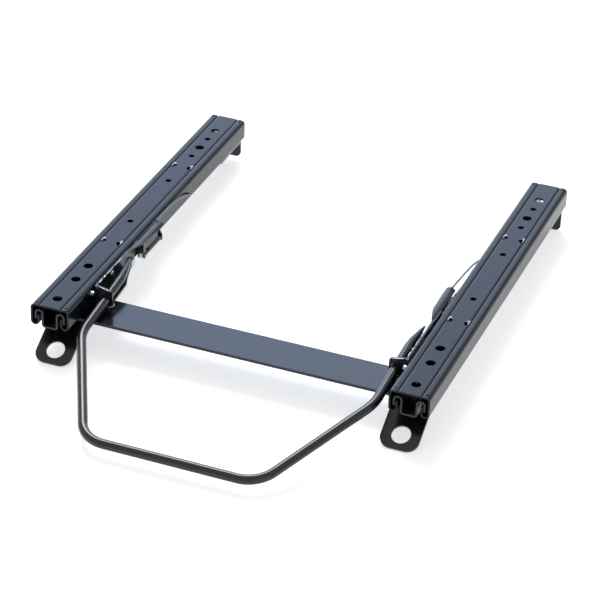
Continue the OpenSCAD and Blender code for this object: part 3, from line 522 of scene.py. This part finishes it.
@dataclass(frozen=True)
class PullBar:
    """Bent round bar with its two arms, and the weld beads that hold it in the levers. Millimetres."""

    datum: Datum
    diameter: float = 9.0
    end_u: float = 11.7
    end_y: float = 86.0
    end_z: float = -8.9
    tip_u: tuple[float, ...] = (7.6, 8.3, 9.6, 10.9)
    tip_y: tuple[float, ...] = (117.5, 113.0, 105.0, 96.0)
    tip_z: tuple[float, ...] = (-3.6, -4.4, -5.8, -7.2)
    tip_share: tuple[float, ...] = (0.13, 0.36, 0.6, 0.84)
    tip_bend_r: float = 40.0
    elbow_u: float = 12.7
    elbow_y: float = -0.2
    elbow_z: float = -19.0
    elbow_r: float = 50.0
    corner_x: float = 81.3
    corner_y: float = -121.5
    corner_z: float = -42.8
    corner_r: float = 30.0
    sides: int = 48
    step: float = 2.0
    bead_r: float = 1.5
    bead_ripple: float = 1.6
    bead_ripple_depth: float = 0.12
    bead_side: float = 0.72
    bead_drop: float = 0.78
    bead_fullness: float = 0.35
    bead_tip: float = 0.02
    bead_steps: int = 60
    bead_sides: int = 14
    bead_runs: tuple[tuple[float, float], ...] = ((60.0, 69.0), (73.0, 82.0))

    def route(self) -> Points:
        """Centre line from the right arm's tip round to the left arm's tip.

        Returns:
            Points in metres.
        """
        tip = [self.datum.by_wall(Side.RIGHT, *place) for place in zip(self.tip_u, self.tip_y, self.tip_z)]
        half = tip + [
            self.datum.by_wall(Side.RIGHT, self.end_u, self.end_y, self.end_z),
            self.datum.by_wall(Side.RIGHT, self.elbow_u, self.elbow_y, self.elbow_z),
            self.datum.at(self.corner_x, self.corner_y, self.corner_z),
        ]
        flip = np.array([-1.0, 1.0, 1.0])
        corners = half + [point * flip for point in reversed(half)]
        arm = [self.tip_bend_r] * len(tip) + [self.elbow_r, self.corner_r]
        radii = [r * MM for r in arm + arm[::-1]]
        return rounded_route(corners, radii, self.step * MM)

    def bar(self) -> bpy.types.Object:
        """The bar itself: its radius shrinks along each tip, in the shares given at the tip's stations.

        Returns:
            The dressed piece.
        """
        line = self.route()
        y = (line[:, 1] - self.datum.front_y) / MM
        stations = [self.end_y, *reversed(self.tip_y)]
        shares = np.interp(y, stations, [1.0, *reversed(self.tip_share)])
        radii = self.diameter / 2 * MM * shares
        points, faces = tube(line, radii, self.sides, UP)
        piece = mesh_object("pull_bar", points, faces)
        return dress(piece, BAR_ENAMEL, Body.HANDLE, "bar_paint", "handle_bar")

    def bead(self, side: Side) -> bpy.types.Object:
        """Rippled weld beads along the bar's foot in one lever.

        The bead's radius swells once every bead_ripple millimetres and shrinks to nothing at both ends.

        Args:
            side: Rail that the lever hangs on.

        Returns:
            The dressed piece.
        """
        rise = (self.end_z - self.elbow_z) / (self.end_y - self.elbow_y)
        drift = (self.elbow_u - self.end_u) / (self.end_y - self.elbow_y)
        offset = self.diameter / 2
        shapes = []
        for first, last in self.bead_runs:
            y = np.linspace(first, last, self.bead_steps)
            u = self.end_u + (self.end_y - y) * drift - offset * self.bead_side
            z = self.end_z - (self.end_y - y) * rise - offset * self.bead_drop
            line = np.stack([side.value * (self.datum.wall_x - u * MM), self.datum.front_y + y * MM,
                             self.datum.top_z + z * MM], -1)
            t = (y - first) / (last - first)
            swell = np.clip(np.sin(np.pi * t), 0, 1) ** self.bead_fullness
            ripple = 1 + self.bead_ripple_depth * np.cos(2 * np.pi * y / self.bead_ripple)
            radii = self.bead_r * MM * np.maximum(swell * ripple, self.bead_tip)
            shapes.append(tube(line, radii, self.bead_sides, UP))
        points, faces = join_shapes(shapes)
        piece = mesh_object(f"bar_weld_{side.word}", points, faces)
        return dress(piece, LEVER_DIP_PAINT, Body.HANDLE, "lever_paint")

    def build(self) -> None:
        """Makes the bar and the beads of both levers."""
        self.bar()
        for side in Side:
            self.bead(side)


@dataclass(frozen=True)
class ReturnWire:
    """Bent wire that pulls a lever back to rest, hooked into the rail wall. Millimetres from the wall."""

    datum: Datum
    diameter: float = 1.8
    sides: int = 14
    step: float = 0.6
    corners: tuple[tuple[float, float, float], ...] = (
        (4.35, 184.0, 1.49), (2.9, 219.6, -0.6), (2.6, 238.08, -3.2), (2.6, 254.04, -7.4),
        (2.6, 270.0, -13.0), (-1.8, 270.0, -13.0))
    bend_radii: tuple[float, ...] = (90.0, 90.0, 90.0, 2.2)
    ring_hint: tuple[float, float, float] = (0.41, 0.08, 0.9)

    def build(self, side: Side) -> bpy.types.Object:
        """The wire on one rail.

        Args:
            side: Rail that carries it.

        Returns:
            The dressed piece.
        """
        corners = [self.datum.by_wall(side, *corner) for corner in self.corners]
        route = rounded_route(corners, [r * MM for r in self.bend_radii], self.step * MM)
        radii = np.full(len(route), self.diameter / 2 * MM)
        points, faces = tube(route, radii, self.sides, self.ring_hint)
        piece = mesh_object(f"return_wire_{side.word}", points, faces)
        return dress(piece, SPRING_WIRE, Body.CARRIAGE, "spring_steel", f"return_spring_{side.word}")


@dataclass(frozen=True)
class Rivets:
    """Upset rivets and headed pins with crowned heads. Millimetres."""

    datum: Datum
    crown_steps: int = 8
    crown_edge: float = 0.35
    crown_tip: float = 0.02
    strip_x: float = 141.0
    strip_y: float = 61.0
    strip_top: float = -23.0
    strip_foot: float = -28.6
    strip_d: float = 5.0
    strip_head_d: float = 9.0
    strip_head_h: float = 1.2
    lever_y: float = 86.0
    lever_z: float = -5.0
    lever_u: float = 1.2
    lever_t: float = 2.0
    lever_d: float = 3.0
    lever_head_d: float = 6.0
    lever_head_h: float = 1.4
    pivot_y: float = 126.0
    pivot_z: float = -14.0
    pivot_d: float = 6.0
    pivot_collar_d: float = 9.0
    pivot_head_d: float = 8.0
    pivot_stations: tuple[float, ...] = (-1.8, 0.0, 0.9, 5.9, 7.4)

    def crown(self, radius: float, foot: float, height: float) -> Points:
        """Profile of a crowned head: a short edge, then a quarter of an ellipse up to the axis.

        Args:
            radius: Head radius in millimetres.
            foot: Height of the head's seat.
            height: Head height.

        Returns:
            Rows of radius and height in millimetres.
        """
        edge = self.crown_edge * height
        t = np.linspace(0, np.pi / 2, self.crown_steps)
        rows = np.stack([radius * np.cos(t), foot + edge + (height - edge) * np.sin(t)], -1)
        rows[-1, 0] = radius * self.crown_tip
        return np.concatenate([[[radius, foot]], rows])

    def strip_set(self) -> bpy.types.Object:
        """Rivets that join the strip to the front feet.

        Returns:
            The dressed piece.
        """
        length = self.strip_top - self.strip_foot
        tail = self.strip_head_h / 2
        head = self.crown(self.strip_head_d / 2, length, self.strip_head_h)
        stem = [[self.strip_head_d / 2, -tail], [self.strip_head_d / 2, 0], [self.strip_d / 2, 0],
                [self.strip_d / 2, length]]
        profile = np.concatenate([stem, head]) * MM
        feet = [self.datum.at(side.value * self.strip_x, self.strip_y, self.strip_foot) for side in Side]
        shapes = [revolve(profile, foot, np.array(UP)) for foot in feet]
        piece = mesh_object("strip_rivet_pair", *join_shapes(shapes))
        return dress(piece, ZINC_PLATE, Body.BASE, "zinc_steel", "strip_rivets")

    def lever_set(self) -> bpy.types.Object:
        """Rivets in the wall plates of the levers.

        Returns:
            The dressed piece.
        """
        head = self.crown(self.lever_head_d / 2, self.lever_t, self.lever_head_h)
        stem = [[self.lever_d / 2, 0], [self.lever_d / 2, self.lever_t]]
        profile = np.concatenate([stem, head]) * MM
        shapes = [revolve(profile, self.datum.by_wall(side, self.lever_u, self.lever_y, self.lever_z),
                          np.array([-float(side.value), 0.0, 0.0])) for side in Side]
        piece = mesh_object("lever_rivet_pair", *join_shapes(shapes))
        return dress(piece, ZINC_PLATE, Body.HANDLE, "zinc_steel", "lever_rivets")

    def pivot_set(self) -> bpy.types.Object:
        """Headed pins that the levers turn on.

        Returns:
            The dressed piece.
        """
        foot, seat, collar, head, crown = self.pivot_stations
        wide, small = self.pivot_collar_d / 2, self.pivot_d / 2
        stem = [[small, foot], [small, seat], [wide, seat], [wide, collar], [small, collar], [small, head]]
        profile = np.concatenate([stem, self.crown(self.pivot_head_d / 2, head, crown - head)]) * MM
        shapes = [revolve(profile, self.datum.by_wall(side, 0.0, self.pivot_y, self.pivot_z),
                          np.array([-float(side.value), 0.0, 0.0])) for side in Side]
        piece = mesh_object("pivot_pin_pair", *join_shapes(shapes))
        return dress(piece, ZINC_PLATE, Body.CARRIAGE, "zinc_steel", "lever_pivots")

    def build(self) -> None:
        """Makes all three sets, with the sharp seats of the heads kept crisp."""
        seat_angle = math.radians(50)
        for piece in (self.strip_set(), self.lever_set(), self.pivot_set()):
            piece.data.set_sharp_from_angle(angle=seat_angle)


def bright_bead(start: Points, end: Points, radius: float) -> tuple[Points, list]:
    """Thin bead between two points: its radius swells from both ends to the middle.

    Args:
        start: First point in metres.
        end: Last point in metres.
        radius: Largest radius in metres.

    Returns:
        Points and faces.
    """
    steps = 12
    sides = 10
    end_share = 0.35
    t = np.linspace(0, 1, steps)
    line = start + (end - start) * t[:, None]
    radii = radius * (end_share + (1 - end_share) * np.sin(np.pi * t))
    return tube(line, radii, sides, UP)


@dataclass(frozen=True)
class LancedEdges:
    """Painted highlights at the stop tongues of the sliding rails, made as bright steel beads. Millimetres
    from a rail's middle.
    """

    datum: Datum
    half_width: float = 19.0
    fold_x: float = 9.7
    tip_x: float = 4.9
    half_len: float = 6.0
    fold_share: float = 0.2
    tongue_y: tuple[float, float] = (131.5, 296.8)
    radius: float = 0.45
    depth: float = 0.2

    def build(self, side: Side) -> bpy.types.Object:
        """Two short painted-highlight beads for each tongue: one along the fold and one along the sheared
        slope behind it.

        Args:
            side: Rail that carries the tongues.

        Returns:
            The dressed piece.
        """
        middle = side.value * (self.datum.wall_x / MM + self.half_width)
        shapes = []
        for hand in (-1, 1):
            fold = middle + hand * self.fold_x
            tip = middle + hand * self.tip_x
            for y in self.tongue_y:
                runs = (((fold, y - self.half_len * self.fold_share), (fold, y + self.half_len)),
                        ((fold, y + self.half_len), ((fold + tip) / 2, y + self.half_len / 2)))
                for run in runs:
                    start, end = (self.datum.at(*place, -self.depth) for place in run)
                    shapes.append(bright_bead(start, end, self.radius * MM))
        # Bright steel beads that paint highlights along the tongue folds
        piece = mesh_object(f"lanced_edges_{side.word}", *join_shapes(shapes))
        return dress(piece, HIGHLIGHT_BEAD_STEEL, Body.CARRIAGE, "zinc_steel")


@dataclass(frozen=True)
class LeverEdgeHighlightBeads:
    """Painted highlights along the top edges of a lever's wall plate and flange, made as bright steel beads.
    Millimetres from the rail wall.
    """

    datum: Datum
    edge_u: float = 3.0
    edge_z: float = -0.1
    edge_runs: tuple[tuple[float, float], ...] = ((58.0, 66.0), (68.5, 73.0), (75.0, 90.0), (92.0, 110.0))
    edge_radii: tuple[float, ...] = (0.5, 0.5, 0.3, 0.3)
    flange_start: tuple[float, float, float] = (4.4, 53.1, -0.8)
    flange_end: tuple[float, float, float] = (17.2, 53.1, -3.5)
    flange_radius: float = 0.35

    def build(self, side: Side) -> bpy.types.Object:
        """Painted-highlight beads along both edges.

        Args:
            side: Rail that the lever hangs on.

        Returns:
            The dressed piece.
        """
        shapes = [bright_bead(self.datum.by_wall(side, self.edge_u, first, self.edge_z),
                              self.datum.by_wall(side, self.edge_u, last, self.edge_z), radius * MM)
                  for (first, last), radius in zip(self.edge_runs, self.edge_radii)]
        shapes.append(bright_bead(self.datum.by_wall(side, *self.flange_start),
                                  self.datum.by_wall(side, *self.flange_end), self.flange_radius * MM))
        # Bright steel beads that paint highlights along the lever's top edges and flange rim
        piece = mesh_object(f"worn_edge_{side.word}", *join_shapes(shapes))
        return dress(piece, HIGHLIGHT_BEAD_STEEL, Body.HANDLE, "zinc_steel")


@dataclass(frozen=True)
class KeptNodes:
    """Frame nodes whose own shape is shown, with the finish that each gets."""

    finishes: dict[str, Finish] = field(default_factory=lambda: {
        "rail_rivets": BRACKET_DIP_PAINT, "lock_pins": ZINC_PLATE, "lever_stops": ZINC_PLATE,
        "ball_cages_left": CAGE_PHOSPHATE, "ball_cages_right": CAGE_PHOSPHATE,
        "balls_left": BALL_STEEL, "balls_right": BALL_STEEL})

    def build(self) -> None:
        """Puts the finishes on the nodes."""
        for node, finish in self.finishes.items():
            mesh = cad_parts[node].data
            mesh.materials.clear()
            mesh.materials.append(finish.material())
            log.info("%s keeps its own shape", node)


@dataclass(frozen=True)
class Studio:
    """Pale floor, white surroundings, soft lamps and the camera. Millimetres and degrees."""

    datum: Datum
    floor_half_m: float = 14.0
    floor_colour: str = "#e6e6e6"
    floor_glow: float = 0.62
    camera_x: float = 743.11
    camera_y: float = -1825.1
    camera_z: float = 1237.22
    azimuth: float = 20.2977
    elevation: float = 30.9918
    roll: float = 2.3001
    lens: float = 158.081
    sensor: float = 36.0
    view_depth_m: float = 50.0
    panel_colour: str = "#b2d1ff"
    panel_power: float = 35.0
    panel_size: tuple[float, float] = (2.9, 1.9)
    panel_place: tuple[float, float, float] = (-0.9, 2.3, 1.5)
    low_power: float = 2.0
    low_size: tuple[float, float] = (1.1, 0.8)
    low_place: tuple[float, float, float] = (-1.62, 2.16, 0.35)
    line_power: float = 36.0
    line_size: tuple[float, float] = (1.3, 0.85)
    line_place: tuple[float, float, float] = (-0.76, 1.12, 2.16)
    front_power: float = 1.0
    front_size: tuple[float, float] = (3.0, 0.7)
    front_place: tuple[float, float, float] = (-0.6, -2.6, 0.3)
    side_power: float = 4.0
    side_size: tuple[float, float] = (2.4, 1.3)
    side_place: tuple[float, float, float] = (2.2, -2.0, 0.95)
    fill: float = 0.5

    def floor(self) -> bpy.types.Object:
        """Floor that the front feet and the rear legs both touch.

        Returns:
            The stage object.
        """
        foot_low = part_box("front_foot_right")[0]
        leg_low, leg_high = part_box("rear_foot_right")
        slope = (leg_low.z - foot_low.z) / (leg_high.y - foot_low.y)
        half = self.floor_half_m
        xy = np.array([[-half, -half], [half, -half], [half, half], [-half, half]])
        z = foot_low.z + (xy[:, 1] - foot_low.y) * slope
        piece = mesh_object("studio_floor", np.column_stack([xy, z]), [[0, 1, 2, 3]], smooth=False)
        material = bpy.data.materials.new("floor_matt_paper")
        material.use_nodes = True
        tree = material.node_tree
        tree.nodes.clear()
        paper = add(tree, "ShaderNodeBsdfDiffuse", {"Color": linear(self.floor_colour)})
        glow = add(tree, "ShaderNodeMath", {0: self.open_view(tree), 1: self.floor_glow},
                   operation="MULTIPLY")
        lamp = add(tree, "ShaderNodeEmission", {"Strength": glow.outputs[0]})
        seen = add(tree, "ShaderNodeAddShader", {0: paper.outputs[0], 1: lamp.outputs[0]})
        add(tree, "ShaderNodeOutputMaterial", {"Surface": seen.outputs[0]})
        piece.data.materials.append(material)
        return piece

    def open_view(self, tree: bpy.types.NodeTree) -> bpy.types.NodeSocket:
        """Socket that is 1 for rays from the eye, from a mirror or through glass, and 0 for others.

        Args:
            tree: Node tree that takes the nodes.

        Returns:
            The socket.
        """
        path = add(tree, "ShaderNodeLightPath").outputs
        eye_or_mirror = add(tree, "ShaderNodeMath", {0: path["Is Camera Ray"], 1: path["Is Glossy Ray"]},
                            operation="MAXIMUM").outputs[0]
        return add(tree, "ShaderNodeMath", {0: eye_or_mirror, 1: path["Is Transmission Ray"]},
                   operation="MAXIMUM").outputs[0]

    def world(self) -> None:
        """White surroundings for the eye and for reflections, and an even fill for matt surfaces."""
        world = bpy.data.worlds.new("studio_surroundings")
        bpy.context.scene.world = world
        world.use_nodes = True
        tree = world.node_tree
        tree.nodes.clear()
        strength = add(tree, "ShaderNodeMix", {0: self.open_view(tree), 2: self.fill, 3: 1.0}).outputs[0]
        back = add(tree, "ShaderNodeBackground", {"Strength": strength})
        add(tree, "ShaderNodeOutputWorld", {"Surface": back.outputs[0]})

    def lamp(self, name: str, place: tuple[float, float, float], size: tuple[float, float], power: float,
             colour: str = "#ffffff") -> None:
        """Soft box aimed at the middle of the object.

        Args:
            name: Name of the lamp.
            place: Its place in metres.
            size: Its width and height in metres.
            power: Its power in watts.
            colour: Its colour.
        """
        data = bpy.data.lights.new(name, "AREA")
        data.shape = "RECTANGLE"
        data.size, data.size_y = size
        data.energy = power
        data.color = linear(colour)[:3]
        lamp = bpy.data.objects.new(name, data)
        bpy.context.scene.collection.objects.link(lamp)
        lamp.location = place
        aim = Vector((0, 0, 0)) - Vector(place)
        lamp.rotation_euler = aim.to_track_quat("-Z", "Y").to_euler()

    def camera(self) -> None:
        """Camera at the photograph's viewing angle."""
        a, e, r = (math.radians(v) for v in (self.azimuth, self.elevation, self.roll))
        back = Vector((math.sin(a) * math.cos(e), -math.cos(a) * math.cos(e), math.sin(e)))
        right = (-back).cross(Vector((0, 0, 1))).normalized()
        up = right.cross(-back)
        along = math.cos(r) * right + math.sin(r) * up
        upward = math.cos(r) * up - math.sin(r) * right
        turned = Matrix((along, upward, back))
        data = bpy.data.cameras.new("camera")
        data.lens = self.lens
        data.sensor_width = self.sensor
        data.clip_end = self.view_depth_m
        camera = bpy.data.objects.new("camera", data)
        bpy.context.scene.collection.objects.link(camera)
        spot = Vector(self.datum.at(self.camera_x, self.camera_y, self.camera_z))
        camera.matrix_world = Matrix.Translation(spot) @ turned.transposed().to_4x4()
        bpy.context.scene.camera = camera

    def build(self) -> None:
        """Makes the whole stage."""
        bpy.context.scene.view_settings.view_transform = "Standard"
        self.camera()
        self.floor()
        self.world()
        self.lamp("back_panel", self.panel_place, self.panel_size, self.panel_power, self.panel_colour)
        self.lamp("low_softbox", self.low_place, self.low_size, self.low_power)
        self.lamp("line_lamp", self.line_place, self.line_size, self.line_power)
        self.lamp("front_softbox", self.front_place, self.front_size, self.front_power)
        self.lamp("side_softbox", self.side_place, self.side_size, self.side_power)


def main() -> None:
    """Builds the stage and the pieces in order."""
    logging.basicConfig(level=logging.INFO, format="%(name)s: %(message)s")
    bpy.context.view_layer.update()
    datum = Datum.from_frame()
    Studio(datum).build()
    SheetMetal().build()
    PullBar(datum).build()
    for side in Side:
        ReturnWire(datum).build(side)
        # The tongue beads and the lever-edge beads are painted highlights made as bright steel
        LancedEdges(datum).build(side)
        LeverEdgeHighlightBeads(datum).build(side)
    Rivets(datum).build()
    KeptNodes().build()


if __name__ == "__main__":
    main()
